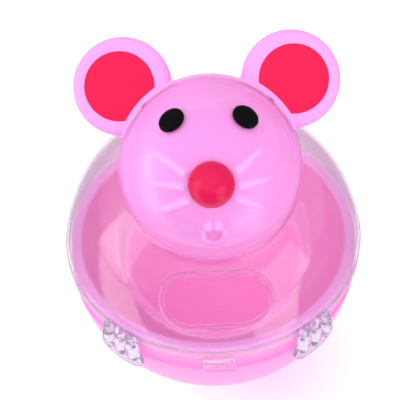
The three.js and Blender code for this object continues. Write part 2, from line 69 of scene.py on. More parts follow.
RIM_R = 44.1
RIM_TOP = 5.0
RIM_BOTTOM = COLLAR_TOP + GAP
BOWL_R = 41.0
BOWL_DEPTH = 34.0
BOWL_WALL = 1.5
BOWL_FLOOR_R = 17.0

SCREW_CIRCLE_R = 9.5
SCREW_R = 1.1
SCREW_HEAD_R = 2.3
SCREW_HEAD_HEIGHT = 1.0
SCREW_LENGTH = 9.0

OUTLET_TILT = 29.5
OUTLET_WIDTH = 31.0
OUTLET_HEIGHT = 15.4
BEAD_WIDTH = 33.8
BEAD_HEIGHT = 19.0

HINGE_Y = 50.0
HINGE_Z = FLANGE_BOTTOM
KNUCKLE_R = 3.1
KNUCKLE_HALF = 5.6
LUG_INNER_X = 6.0
LUG_OUTER_X = 9.5
PIN_R = 1.2

TAB_WIDTH = 9.4
TAB_INNER_Y = -(BASE_R + 0.25)
TAB_OUTER_Y = -46.4
TAB_TOP = FLANGE_BOTTOM - GAP
TAB_BOTTOM = -3.8

PAW_AZIMUTH = 39.0
TOE_STEP = 5.3
TOE_R = 2.3
TOE_LENGTH = 13.5
TOE_PATH_R = 46.4
TOE_WAIST = 0.34
TOE_WAIST_AT = 2.9
TOE_WAIST_HALF = 0.95
PAW_CLEARANCE_R = FLANGE_R + GAP
PEG_R = 1.2
PEG_TILT = 5.6
PAD_OUTER_R = 47.4
PAD_WIDTH = 15.4
PAD_HEIGHT = 10.0
PAD_TILT = -6.5

LINER_R = 25.5          # 0.3 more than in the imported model, so that pink reaches the outline
LINER_WALL = 1.4
LINER_SKIRT = 1.8

FACE_TILT = 49.3
EAR_R = 14.1
EAR_X = 24.0
EAR_UP = 23.7
EAR_FRONT = 5.4
EAR_BACK = -0.6
EAR_FIT = 0.06
EAR_FILLET = 1.1
EAR_SCREW_R = 0.9
EAR_SCREW_HEAD_R = 1.9
EAR_SCREW_HEAD_AT = 22.0
EAR_SCREW_TIP = 33.0
EAR_SCREW_LIFT = 2.1
INSERT_R = 10.0
INSERT_DEPTH = 1.3
INSERT_OUT = 0.8
INSERT_HEAD_R = 27.3

NOSE_TILT = 38.4
NOSE_R = 6.5
NOSE_RISE = 6.3
NOSE_POWER = 1.75
STEM_R = 1.5
STEM_END = 20.8
CLIP_R = 4.0
CLIP_AT = 21.8
CLIP_THICKNESS = 1.0
EYE_R = 3.85
EYE_RISE = 1.2
EYE_STEM_R = 1.0
EYE_STEM_END = 22.8
EYE_X = 0.384
EYE_TILT = 81.6
EYE_OVAL = 0.88         # narrowing towards the middle of the face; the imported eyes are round

ROUND = 160             # facets round the large turned shapes
MIDDLE_ROUND = 96
SMALL_ROUND = 48
BORE_ROUND = 32
SHARP = 38.0            # degrees: sharper edges than this stay crisp
MERGE_WITHIN = 2e-6     # metres
DISSOLVE_WITHIN = 1e-6
TINY = 1e-6             # millimetres: shorter than this counts as nothing


# ---- Places ----

def facing(tilt, turn=0.0):
    """Turns +Z to a direction: degrees above level, and degrees from the front towards +X."""
    return (Matrix.Rotation(math.radians(turn), 4, "Z")
            @ Matrix.Rotation(math.radians(90 - tilt), 4, "X"))


def towards(x, y, z):
    turn = Vector((0, 0, 1)).rotation_difference(Vector((x, y, z)))
    return turn.to_matrix().to_4x4()


LEAN = math.atan2(HEAD_LEAN, HEAD_RISE)
HEAD_SPAN = math.hypot(HEAD_LEAN, HEAD_RISE)
BALL_AT = Matrix.Translation((0, 0, BALL_Z))
LEANING = Matrix.Rotation(LEAN, 4, "X")
HEAD_AT = BALL_AT @ Matrix.Translation((0, -HEAD_LEAN, HEAD_RISE))
FACE = facing(FACE_TILT)
NOSE = facing(NOSE_TILT)
HINGE_AT = Matrix.Translation((0, HINGE_Y, HINGE_Z)) @ Matrix.Rotation(math.pi / 2, 4, "Y")
SIDES = {"left": -1, "right": 1}


def eye_frame(side):
    forward = math.sqrt(1 - EYE_X ** 2)
    tilt = math.radians(EYE_TILT)
    return towards(side * EYE_X, -forward * math.cos(tilt), forward * math.sin(tilt))


def ear_screw_frame(side):
    aim = FACE @ Vector((side * EAR_X, EAR_UP, EAR_SCREW_LIFT))
    return towards(*aim)


def screw_places():
    for i in range(3):
        angle = math.radians(90 + 120 * i)
        yield SCREW_CIRCLE_R * math.cos(angle), SCREW_CIRCLE_R * math.sin(angle)


# ---- Mesh tools ----

def arc(centre_r, centre_z, radius, start, end, step=2.0):
    """Points of an arc in a turning profile, as (radius, height), angles from the top."""
    count = max(2, round(abs(end - start) / step))
    points = []
    for i in range(count + 1):
        angle = math.radians(start + (end - start) * i / count)
        r = centre_r + radius * math.sin(angle)
        points.append((0.0 if abs(r) < TINY else r, centre_z + radius * math.cos(angle)))
    return points


def piece(name, verts, faces):
    mesh = bpy.data.meshes.new(name)
    mesh.from_pydata([tuple(v) for v in verts], [], faces)
    mesh.update()
    obj = bpy.data.objects.new(name, mesh)
    bpy.context.collection.objects.link(obj)
    return obj


def skin(pairs, segments):
    """Faces between pairs of vertex rings. A ring that is a single point gives triangles."""
    faces = []
    for low, high in pairs:
        for i in range(segments):
            j = (i + 1) % segments
            corners = [low[i], low[j], high[j], high[i]]
            face = [c for n, c in enumerate(corners) if c not in corners[:n]]
            if len(face) > 2:
                faces.append(face)
    return faces


def turned(name, profile, segments=ROUND):
    """A closed shape turned about Z. The profile runs up the outside, from axis to axis, or
    closes on itself when its first and last points are the same."""
    ring = profile[0] == profile[-1]
    points = profile[:-1] if ring else profile
    verts, rows = [], []
    for r, z in points:
        if r == 0.0:
            rows.append([len(verts)] * segments)
            verts.append((0.0, 0.0, z))
            continue
        rows.append(list(range(len(verts), len(verts) + segments)))
        for i in range(segments):
            angle = 2 * math.pi * i / segments
            verts.append((r * math.sin(angle), -r * math.cos(angle), z))
    pairs = list(zip(rows, rows[1:]))
    if ring:
        pairs.append((rows[-1], rows[0]))
    return piece(name, verts, skin(pairs, segments))


def rod(name, radius, low, high, segments):
    return turned(name, [(0.0, low), (radius, low), (radius, high), (0.0, high)], segments)


def extruded(name, outline, low, high):
    """A closed prism about Z from a counter-clockwise outline."""
    count = len(outline)
    verts = [(x, y, z) for z in (low, high) for x, y in outline]
    faces = [[i, (i + 1) % count, count + (i + 1) % count, count + i] for i in range(count)]
    faces.append(list(reversed(range(count))))
    faces.append(list(range(count, 2 * count)))
    return piece(name, verts, faces)


def box(name, low, high):
    (x0, y0, z0), (x1, y1, z1) = low, high
    return extruded(name, [(x0, y0), (x1, y0), (x1, y1), (x0, y1)], z0, z1)


def stadium(width, height, steps=24):
    radius = height / 2
    points = []
    for sign, start in ((1, -90), (-1, 90)):
        for i in range(steps + 1):
            angle = math.radians(start + 180 * i / steps)
            points.append((sign * (width / 2 - radius) + radius * math.cos(angle),
                           radius * math.sin(angle)))
    return points


def swept(name, centres, across, outward, half_width, half_height, sides=16):
    """An oval-section bar along a closed path: across and outward are the section's axes."""
    verts = []
    for centre, side, out in zip(centres, across, outward):
        for i in range(sides):
            angle = 2 * math.pi * i / sides
            verts.append(centre + side * (half_width * math.cos(angle))
                         + out * (half_height * math.sin(angle)))
    rows = [list(range(start, start + sides)) for start in range(0, len(verts), sides)]
    obj = piece(name, verts, skin(zip(rows, rows[1:] + rows[:1]), sides))
    fix_normals(obj)
    return obj


def fix_normals(obj):
    bm = bmesh.new()
    bm.from_mesh(obj.data)
    bmesh.ops.recalc_face_normals(bm, faces=bm.faces)
    bm.to_mesh(obj.data)
    bm.free()


def move(obj, matrix):
    obj.data.transform(matrix)
    if matrix.determinant() < 0:
        obj.data.flip_normals()
    return obj


def applied(obj):
    """Bakes an object's modifiers into its mesh."""
    graph = bpy.context.evaluated_depsgraph_get()
    graph.update()
    mesh = bpy.data.meshes.new_from_object(obj.evaluated_get(graph))
    old = obj.data
    obj.modifiers.clear()
    obj.data = mesh
    bpy.data.meshes.remove(old)
    return obj


def combine(obj, operation, *tools):
    for tool in tools:
        modifier = obj.modifiers.new("combine", "BOOLEAN")
        modifier.operation = operation
        modifier.solver = "MANIFOLD"
        modifier.object = tool
        applied(obj)
        mesh = tool.data
        bpy.data.objects.remove(tool)
        bpy.data.meshes.remove(mesh)
    return obj


def cut(obj, *tools):
    return combine(obj, "DIFFERENCE", *tools)


def join(obj, *tools):
    return combine(obj, "UNION", *tools)


def keep(obj, *tools):
    return combine(obj, "INTERSECT", *tools)


def rounded(obj, width, segments=3, angle=35.0):
    """Rounds the edges that are sharper than an angle."""
    modifier = obj.modifiers.new("round", "BEVEL")
    modifier.width = width
    modifier.segments = segments
    modifier.limit_method = "ANGLE"
    modifier.angle_limit = math.radians(angle)
    modifier.use_clamp_overlap = True
    return applied(obj)


def finish(obj, nodes, body, material):
    """Scales a piece to metres, shades it, hides the imported parts that it stands for, and
    hangs it under its body's empty.
    """
    obj.data.transform(Matrix.Scale(MM, 4))
    bm = bmesh.new()
    bm.from_mesh(obj.data)
    bmesh.ops.remove_doubles(bm, verts=bm.verts, dist=MERGE_WITHIN)
    bmesh.ops.dissolve_degenerate(bm, dist=DISSOLVE_WITHIN, edges=bm.edges)
    bm.to_mesh(obj.data)
    bm.free()
    for polygon in obj.data.polygons:
        polygon.use_smooth = True
    obj.data.set_sharp_from_angle(angle=math.radians(SHARP))
    obj.data.materials.clear()
    obj.data.materials.append(material)
    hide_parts(*nodes)
    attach(obj, body)
    return obj


# ---- Relief of the face ----
# Millimetres on the head: across, and up along the arc.

WHISKERS = (
    ((16.5, 5.7), (7.6, -1.6)),
    ((19.1, -3.7), (8.3, -5.6)),
    ((16.2, -12.7), (7.2, -9.7)),
)
WHISKER_RISE = 0.7
WHISKER_WIDTH = 1.2
WHISKER_TAPER = 0.45            # share of the rise, and millimetres of width, lost at the tip
WHISKER_FADE = 0.3              # share of the length over which the tip runs out
TOOTH_X = 1.5
TOOTH_ARC = -18.6
TOOTH_HALF = (1.4, 2.3)
TOOTH_RISE = 0.6
TOOTH_ROUNDNESS = 0.6
MOUTH_ARC = -23.2
MOUTH_HALF = (2.4, 2.5)
MOUTH_CORNERS = (2.3, 0.5)      # corner radius below and above
MOUTH_DEPTH = 0.5
MOUTH_EDGE = 1.4                # width over which the mouth falls to its full depth
LIP_OUT = 0.6
LIP_RISE = 0.35
LIP_WIDTH = 0.6
LIP_START = TOOTH_ARC - 1.0
LIP_FADE = 2.0
MOUTH_ZONE_R = 5.19             # half the height of an oval round the mouth and teeth
MOUTH_ZONE_STRETCH = 1.2
FAR = 1e3
RELIEF_CUTS = 3                 # cuts across each edge near the relief
RELIEF_REACH = 2.6
ON_SURFACE = 0.1


def whisker_lines():
    """Points along each whisker on the head's surface, with their share of the length."""
    for side in SIDES.values():
        for outer, inner in WHISKERS:
            share = np.linspace(0.0, 1.0, 40)
            x = side * (inner[0] + (outer[0] - inner[0]) * share)
            up = inner[1] + (outer[1] - inner[1]) * share
            out = np.sqrt(HEAD_R ** 2 - x ** 2 - up ** 2)
            yield np.stack([x, up, out], axis=1), share


def rounded_box_distance(x, y, half, corner):
    dx = np.abs(x) - half[0] + corner
    dy = np.abs(y) - half[1] + corner
    outside = np.hypot(np.maximum(dx, 0), np.maximum(dy, 0))
    return outside + np.minimum(np.maximum(dx, dy), 0) - corner


def step(value):
    value = np.clip(value, 0.0, 1.0)
    return value * value * (3 - 2 * value)


def relief(directions):
    """Height of the face's relief, and how near its features are, for unit directions."""
    turn = np.array(FACE.to_3x3().inverted())
    local = directions @ turn.T
    spot = local * HEAD_R
    height = np.zeros(len(local))
    near = np.full(len(local), FAR)
    for line, share in whisker_lines():
        gap = np.linalg.norm(spot[:, None, :] - line[None, :, :], axis=2)
        index = gap.argmin(axis=1)
        distance = gap.min(axis=1)
        along = share[index]
        width = WHISKER_WIDTH - WHISKER_TAPER * along
        rise = WHISKER_RISE * (1.0 - WHISKER_TAPER * along) * step((1.0 - along) / WHISKER_FADE)
        height += rise * np.exp(-(distance / width) ** 2)
        near = np.minimum(near, distance)
    x = spot[:, 0]
    run = HEAD_R * np.arcsin(np.clip(local[:, 1], -1.0, 1.0))
    front = local[:, 2] > 0.0
    for side in SIDES.values():
        across = (x - side * TOOTH_X) / TOOTH_HALF[0]
        along = (run - TOOTH_ARC) / TOOTH_HALF[1]
        inside = np.clip(1 - across ** 2 - along ** 2, 0, 1)
        height += np.where(front, TOOTH_RISE * inside ** TOOTH_ROUNDNESS, 0.0)
    corner = np.where(run < MOUTH_ARC, *MOUTH_CORNERS)
    distance = rounded_box_distance(x, run - MOUTH_ARC, MOUTH_HALF, corner)
    height -= np.where(front, MOUTH_DEPTH * step(0.5 - distance / MOUTH_EDGE), 0.0)
    lip = LIP_RISE * np.exp(-((distance - LIP_OUT) / LIP_WIDTH) ** 2)
    height += np.where(front, lip * step((LIP_START - run) / LIP_FADE), 0.0)
    middle = (TOOTH_ARC + MOUTH_ARC) / 2
    zone = np.hypot(x / MOUTH_ZONE_STRETCH, run - middle) - MOUTH_ZONE_R
    near = np.minimum(near, np.where(front, np.maximum(zone, 0.0), FAR))
    return height, near


def emboss(obj, radius):
    """Refines a head surface round the face's features, lifts it by the relief, and keeps the
    relief's height for the material. The mesh is about the head's centre."""
    bm = bmesh.new()
    bm.from_mesh(obj.data)
    bm.faces.ensure_lookup_table()
    centres = np.array([f.calc_center_median() for f in bm.faces])
    distance = np.linalg.norm(centres, axis=1)
    _, near = relief(centres / distance[:, None])
    on_head = np.abs(distance - radius) < ON_SURFACE
    chosen = [f for f, ok in zip(bm.faces, on_head & (near < RELIEF_REACH)) if ok]
    edges = list({e for f in chosen for e in f.edges})
    bmesh.ops.subdivide_edges(bm, edges=edges, cuts=RELIEF_CUTS, use_grid_fill=True)
    bmesh.ops.triangulate(bm, faces=[f for f in bm.faces if len(f.verts) > 4])
    bm.verts.ensure_lookup_table()
    places = np.array([v.co for v in bm.verts])
    distance = np.linalg.norm(places, axis=1)
    directions = places / np.maximum(distance, TINY)[:, None]
    height, _ = relief(directions)
    height[np.abs(distance - radius) > ON_SURFACE] = 0.0
    for i, vertex in enumerate(bm.verts):
        if height[i] != 0.0:
            vertex.co = Vector(directions[i]) * (radius + height[i])
    bm.to_mesh(obj.data)
    bm.free()
    record = obj.data.attributes.new("relief", "FLOAT", "POINT")
    record.data.foreach_set("value", height.astype(np.float32))
    return obj


# ---- Pieces ----

BIG = 60.0                      # reaches past the whole ball
CUT_PAST = 5.0                  # how far a cutting tool reaches past what it cuts
HEAD_BORE = (15, 30)            # distances from the head's centre
PEG_BORE = (40, 50)             # distances from the ball's centre
HINGE_BORE = (-12, 12)
HINGE_WEB = 70                  # half the angle that a knuckle's web takes, in degrees
KNUCKLE_SINK = 0.6
# Turns a prism about Z, drawn in x and y, to one about X, drawn in y and z.
TO_X_AXIS = Matrix(((0, 0, 1, 0), (1, 0, 0, 0), (0, 1, 0, 0), (0, 0, 0, 1)))
SHELL_START = FLANGE_BOTTOM + 1.2
FLANGE_BEVEL = (0.3, 0.09)      # at its corners and at its middle
FLANGE_ROUND = 0.7
OUTLET_PATH = ((OUTLET_WIDTH + BEAD_WIDTH) / 2, (OUTLET_HEIGHT + BEAD_HEIGHT) / 2)
BEAD_PATH_R = BALL_R - 0.5
BEAD_SECTION = (0.85, 1.05)     # half width and half height


def gourd(name, inset):
    """The two balls and the hollow between them, moved inwards by inset, about the ball."""
    low = BALL_R - inset
    high = HEAD_R - inset
    hollow = NECK_FILLET + inset
    centre_z = (HEAD_SPAN ** 2 + (low + hollow) ** 2 - (high + hollow) ** 2) / (2 * HEAD_SPAN)
    centre_r = math.sqrt((low + hollow) ** 2 - centre_z ** 2)
    low_angle = math.degrees(math.atan2(centre_r, centre_z))
    high_angle = math.degrees(math.atan2(centre_r, centre_z - HEAD_SPAN))
    profile = arc(0, 0, low, 180, low_angle)
    profile += arc(centre_r, centre_z, hollow, low_angle + 180, high_angle + 180, step=5)[1:-1]
    profile += arc(0, HEAD_SPAN, high, high_angle, 0)
    shell = move(turned(name, profile), LEANING)
    to_head = Matrix.Translation((0, -HEAD_LEAN, HEAD_RISE))
    move(shell, to_head.inverted())
    emboss(shell, high)
    return move(shell, to_head)


def bore(radius, place, near, far):
    return move(rod("bore", radius, near, far, BORE_ROUND), place)


def head_bores(place):
    yield bore(STEM_R + GAP, place @ NOSE, *HEAD_BORE)
    for side in SIDES.values():
        yield bore(EYE_STEM_R + GAP, place @ eye_frame(side), *HEAD_BORE)
        yield bore(EAR_SCREW_R + GAP, place @ ear_screw_frame(side), *HEAD_BORE)


def hinge_barrel(name, low_x, high_x, lower, upper):
    """A hinge knuckle about X with a web between two wall points."""
    start = math.atan2(lower[1] - HINGE_Z, lower[0] - HINGE_Y) + math.radians(HINGE_WEB)
    sweep = 2 * math.pi - math.radians(2 * HINGE_WEB)
    count = 36
    outline = [lower]
    for i in range(count + 1):
        angle = start + sweep * i / count
        outline.append((HINGE_Y + KNUCKLE_R * math.cos(angle),
                        HINGE_Z + KNUCKLE_R * math.sin(angle)))
    outline.append(upper)
    barrel = extruded(name, outline, low_x, high_x)
    barrel.data.transform(TO_X_AXIS)
    fix_normals(barrel)
    return barrel


def outlet_bead():
    ring = stadium(*OUTLET_PATH)
    ring = [p for i, p in enumerate(ring) if math.dist(p, ring[i - 1]) > TINY]
    centres = [Vector((x, y, math.sqrt(BEAD_PATH_R ** 2 - x * x - y * y))) for x, y in ring]
    outward = [c.normalized() for c in centres]
    across = []
    for i, out in enumerate(outward):
        along = centres[(i + 1) % len(centres)] - centres[i - 1]
        across.append(along.cross(out).normalized())
    return move(swept("bead", centres, across, outward, *BEAD_SECTION), facing(OUTLET_TILT))


def clear_cover(material):
    shell = gourd("cover_shell", 0.0)
    cut(shell, gourd("hollow", COVER_WALL))
    cut(shell, box("below", (-BIG, -BIG, -BIG), (BIG, BIG, SHELL_START)))
    inner_r = BALL_R - COVER_WALL
    corner, middle = FLANGE_BEVEL
    flange = turned("flange", [
        (inner_r, FLANGE_BOTTOM),
        (FLANGE_R - corner, FLANGE_BOTTOM),
        (FLANGE_R - middle, FLANGE_BOTTOM + middle),
        (FLANGE_R, FLANGE_BOTTOM + corner),
        *arc(FLANGE_R - FLANGE_ROUND, FLANGE_TOP - FLANGE_ROUND, FLANGE_ROUND, 90, 0, step=15),
        (inner_r, FLANGE_TOP),
        (inner_r, FLANGE_BOTTOM),
    ])
    root_y = BALL_R - COVER_WALL / 2 - KNUCKLE_SINK
    knuckle = hinge_barrel("knuckle", -KNUCKLE_HALF, KNUCKLE_HALF,
                           (root_y, FLANGE_BOTTOM + 0.02), (root_y, FLANGE_TOP - 0.4))
    rounded(knuckle, 0.25)
    cut(knuckle, rod("mouth", inner_r + 0.1, -2 * CUT_PAST, FLANGE_TOP + CUT_PAST, ROUND))
    join(shell, flange, knuckle)
    cut(shell, rod("mouth", inner_r, -2 * CUT_PAST, FLANGE_TOP, ROUND))
    outlet = extruded("outlet", stadium(*OUTLET_PATH), BALL_R - 2 * CUT_PAST,
                      BALL_R + 2 * CUT_PAST)
    cut(shell, move(outlet, facing(OUTLET_TILT)))
    join(shell, outlet_bead())
    cut(shell, bore(PIN_R + GAP, HINGE_AT, *HINGE_BORE))
    cut(shell, *head_bores(BALL_AT.inverted() @ HEAD_AT))
    for side in SIDES.values():
        cut(shell, bore(PEG_R + GAP, facing(PEG_TILT, side * PAW_AZIMUTH), *PEG_BORE))
    move(shell, BALL_AT)
    return finish(shell, ["clear_cover"], "cover", material)


def head_liner(material):
    inner_r = LINER_R - LINER_WALL
    outer = turned("head_half", [
        (0.0, -LINER_SKIRT),
        (LINER_R, -LINER_SKIRT),
        *arc(0, 0, LINER_R, 90, 0),
    ])
    move(outer, LEANING)
    emboss(outer, LINER_R)
    opening = -LINER_SKIRT - 3
    inner = turned("hollow", [
        (0.0, opening),
        (inner_r, opening),
        *arc(0, 0, inner_r, 90, 0),
    ])
    cut(outer, move(inner, LEANING))
    cut(outer, *head_bores(Matrix.Identity(4)))
    move(outer, HEAD_AT)
    return finish(outer, ["head_liner"], "cover", material)


# Small roundings of the bowl's profile, as distances inwards and down.
RIM_EDGE = ((0.0, 0.4), (0.12, 0.12), (0.4, 0.0))
RIM_BEVEL = 0.2
BOWL_EDGE = ((-0.9, 0.0), (-0.5, 0.06), (-0.18, 0.28), (-0.03, 0.7))
BOWL_DISH = ((1.5, 0.25), (3.5, 0.4))
BOWL_START = 88                 # degrees from straight down to the brim, inside and outside
BOWL_OUTER_START = 86


def bowl_curve(thickness, start, end, count=48):
    """The bowl's half-oval section between two angles from straight down."""
    points = []
    for i in range(count + 1):
        angle = math.radians(start + (end - start) * i / count)
        points.append(((BOWL_R + thickness) * math.sin(angle),
                       RIM_TOP - (BOWL_DEPTH + thickness) * math.cos(angle)))
    return points


def edge_points(radius, height, steps):
    return [(radius - inwards, height - down) for inwards, down in steps]


def bowl(material):
    floor_angle = math.degrees(math.asin(BOWL_FLOOR_R / BOWL_R))
    outer = bowl_curve(BOWL_WALL, floor_angle, BOWL_OUTER_START)
    inner = bowl_curve(0.0, BOWL_START, floor_angle)
    floor = inner[-1][1]
    dish = edge_points(BOWL_FLOOR_R, floor, BOWL_DISH)
    profile = [
        (0.0, outer[0][1]),
        *outer,
        (BOWL_R + BOWL_WALL, RIM_BOTTOM),
        (RIM_R - RIM_BEVEL, RIM_BOTTOM),
        (RIM_R, RIM_BOTTOM + RIM_BEVEL),
        *edge_points(RIM_R, RIM_TOP, RIM_EDGE),
        *edge_points(BOWL_R, RIM_TOP, BOWL_EDGE),
        *inner[:-1],
        (BOWL_FLOOR_R, floor),
        *dish,
        (0.0, dish[-1][1]),
    ]
    liner = move(turned("food_bowl", profile), BALL_AT)
    return finish(liner, ["bowl_liner"], "base", material)


def angle_at(radius, height):
    return math.degrees(math.acos(height / radius))


# Small roundings of the base's profile, as distances inwards and down.
FOOT_EDGE = ((0.8, 0.0), (0.1, -0.06))
FOOT_ROUND = 0.35
LIP_ROUND = 0.35
LIP_EDGE = ((0.08, 0.08), (LIP_ROUND, 0.0))
COLLAR_ROOT = 0.25
COLLAR_BEVEL = 0.2
COLLAR_INSIDE_Z = -4.0          # where the collar's inside meets the ball's inside
LUG_ROOT = ((BASE_R - 3, -10.0), (BASE_R - 1.5, LIP_TOP - 0.5))
CATCH_HALF = 5                  # the pocket for the tab's barb
CATCH_Z = (-2.4, -0.2)
CATCH_DEPTH = 0.5


def base(material):
    inner_r = BASE_R - BASE_WALL
    floor_top = BASE_FLOOR - BALL_Z
    flat_r = math.sqrt(BASE_R ** 2 - BALL_Z ** 2)
    lip_r = math.sqrt(BASE_R ** 2 - LIP_TOP ** 2)
    foot_angle = angle_at(BASE_R, -BALL_Z + FOOT_ROUND)
    lip_angle = angle_at(BASE_R, LIP_TOP - LIP_ROUND)
    shell = turned("base_ball", [
        (0.0, -BALL_Z),
        *edge_points(flat_r, -BALL_Z, FOOT_EDGE),
        *arc(0, 0, BASE_R, foot_angle, lip_angle),
        *edge_points(lip_r, LIP_TOP, LIP_EDGE),
        (COLLAR_R + COLLAR_ROOT, LIP_TOP),
        (COLLAR_R, LIP_TOP + COLLAR_ROOT),
        (COLLAR_R, COLLAR_TOP - COLLAR_BEVEL),
        (COLLAR_R - COLLAR_BEVEL, COLLAR_TOP),
        (COLLAR_INNER_R + COLLAR_BEVEL, COLLAR_TOP),
        (COLLAR_INNER_R, COLLAR_TOP - COLLAR_BEVEL),
        *arc(0, 0, inner_r, angle_at(inner_r, COLLAR_INSIDE_Z), angle_at(inner_r, floor_top)),
        (0.0, floor_top),
    ])
    for side in SIDES.values():
        low_x, high_x = sorted((side * LUG_INNER_X, side * LUG_OUTER_X))
        lug = hinge_barrel("lug", low_x, high_x, *LUG_ROOT)
        rounded(lug, 0.3)
        cut(lug, turned("inside", arc(0, 0, inner_r + 0.4, 180, 0)))
        join(shell, lug)
    cut(shell, bore(PIN_R + GAP, HINGE_AT, *HINGE_BORE))
    pocket = box("catch", (-CATCH_HALF, -BASE_R - CUT_PAST, CATCH_Z[0]),
                 (CATCH_HALF, -COLLAR_R + CATCH_DEPTH, CATCH_Z[1]))
    cut(shell, rounded(pocket, 0.2))
    for x, y in screw_places():
        well = rod("well", SCREW_HEAD_R + GAP, -1, SCREW_HEAD_HEIGHT + 2 * GAP, SMALL_ROUND)
        hole = rod("hole", SCREW_R + GAP, 0, BASE_FLOOR + 1, BORE_ROUND)
        for tool in (well, hole):
            cut(shell, move(tool, Matrix.Translation((x, y, -BALL_Z))))
    move(shell, BALL_AT)
    return finish(shell, ["base_shell"], "base", material)


EAR_EDGE = 2.3                  # radius of the ear's rounded rim
EAR_DISH = ((0.5, 0.03), (1.1, 0.21), (1.6, 0.35))
EAR_ROUND = 120
FOOT_SEAT_R = HEAD_R - 0.5
FOOT_START = EAR_BACK + 1.5
INSERT_SINK = 0.36
INSERT_GAP = 0.03


def ear(label, material):
    side = SIDES[label]
    inner_r = EAR_R - EAR_EDGE
    dish = edge_points(inner_r, EAR_FRONT, EAR_DISH)
    disc = turned("disc", [
        (0.0, EAR_BACK),
        *arc(inner_r, EAR_BACK + EAR_EDGE, EAR_EDGE, 180, 90, step=9),
        *arc(inner_r, EAR_FRONT - EAR_EDGE, EAR_EDGE, 90, 0, step=9),
        *dish,
        (0.0, dish[-1][1]),
    ], EAR_ROUND)
    move(disc, Matrix.Translation((side * EAR_X, EAR_UP, 0)))
    cut(disc, insert_shape("pocket", side, 0.0, EAR_FRONT + 2))
    join(disc, ear_foot(side))
    move(disc, FACE)
    cut(disc, turned("head", arc(0, 0, HEAD_R + EAR_FIT, 180, 0)))
    rounded(disc, 0.22, angle=50)
    cut(disc, bore(EAR_SCREW_R + GAP, ear_screw_frame(side), 20, EAR_SCREW_TIP + GAP))
    move(disc, HEAD_AT)
    disc.name = f"round_ear_{label}"
    return finish(disc, [f"ear_{label}"], "cover", material)


def ear_foot(side):
    """The hollow fillet that carries the ear's front face onto the head."""
    rise = EAR_FRONT + EAR_FILLET
    reach = math.sqrt((HEAD_R + EAR_FILLET) ** 2 - rise ** 2)
    top = math.atan2(reach, rise)
    seat_r = math.sqrt(FOOT_SEAT_R ** 2 - EAR_BACK ** 2)
    foot = turned("foot", [
        (seat_r, FOOT_START),
        (reach, FOOT_START),
        (reach, EAR_FRONT),
        *arc(reach, rise, EAR_FILLET, 180, 180 + math.degrees(top), step=9)[1:],
        (FOOT_SEAT_R * math.sin(top), FOOT_SEAT_R * math.cos(top)),
        (seat_r, FOOT_START),
    ])
    patch = rod("patch", EAR_R + 0.5, EAR_BACK, EAR_FRONT + 3, MIDDLE_ROUND)
    return keep(foot, move(patch, Matrix.Translation((side * EAR_X, EAR_UP, 0))))


def insert_shape(name, side, inset, top):
    """A disc cut away along the head: an inlay, or with no inset the pocket for it."""
    disc = rod(name, INSERT_R - inset, EAR_FRONT - INSERT_DEPTH + inset, top, EAR_ROUND)
    move(disc, Matrix.Translation((side * (EAR_X + INSERT_OUT), EAR_UP, 0)))
    return cut(disc, rod("head", INSERT_HEAD_R + inset, -CUT_PAST, EAR_FRONT + CUT_PAST, ROUND))


def ear_insert(label, material):
    disc = insert_shape(f"ear_inlay_{label}", SIDES[label], INSERT_GAP, EAR_FRONT - INSERT_SINK)
    rounded(disc, 0.08, segments=2, angle=50)
    move(disc, HEAD_AT @ FACE)
    return finish(disc, [f"ear_insert_{label}"], "cover", material)


DOME_FOOT = HEAD_R - 1          # a nose or an eye starts under the head's surface
EYE_SEAT_R = HEAD_R + 0.04
EYE_EDGE = 0.4
EYE_POWER = 0.8
EYE_ROUND = 72
SLOT_HALF = 0.35
SLOT_REACH = 3.0


def nose(material):
    rings = 28
    dome = []
    for i in range(rings + 1):
        part = math.sin(math.pi / 2 * i / rings)
        radius = NOSE_R * max(0.0, 1 - part ** NOSE_POWER) ** (1 / NOSE_POWER)
        dome.append((0.0 if i == rings else radius, HEAD_R + NOSE_RISE * part))
    cap = turned("red_nose", [(0.0, DOME_FOOT), (NOSE_R, DOME_FOOT), *dome], MIDDLE_ROUND)
    cut(cap, turned("head", arc(0, 0, HEAD_R + GAP, 180, 0, step=3), MIDDLE_ROUND))
    join(cap, rod("stem", STEM_R, STEM_END, HEAD_R + 1, BORE_ROUND))
    move(cap, HEAD_AT @ NOSE)
    return finish(cap, ["nose"], "cover", material)


def nose_clip(material):
    inner = STEM_R + GAP
    top = CLIP_AT + CLIP_THICKNESS
    ring = turned("push_nut", [
        (inner, CLIP_AT + 0.15),
        (inner + 0.5, CLIP_AT),
        (CLIP_R - 0.3, CLIP_AT),
        (CLIP_R, CLIP_AT + 0.2),
        (CLIP_R, top - 0.2),
        (CLIP_R - 0.2, top),
        (inner + 0.3, top),
        (inner, top - 0.1),
        (inner, CLIP_AT + 0.15),
    ], SMALL_ROUND)
    for i in range(3):
        slot = box("slot", (-SLOT_HALF, 0, CLIP_AT - 1), (SLOT_HALF, SLOT_REACH, top + 1))
        cut(ring, move(slot, Matrix.Rotation(math.radians(120 * i), 4, "Z")))
    move(ring, HEAD_AT @ NOSE)
    return finish(ring, ["nose_clip"], "cover", material)


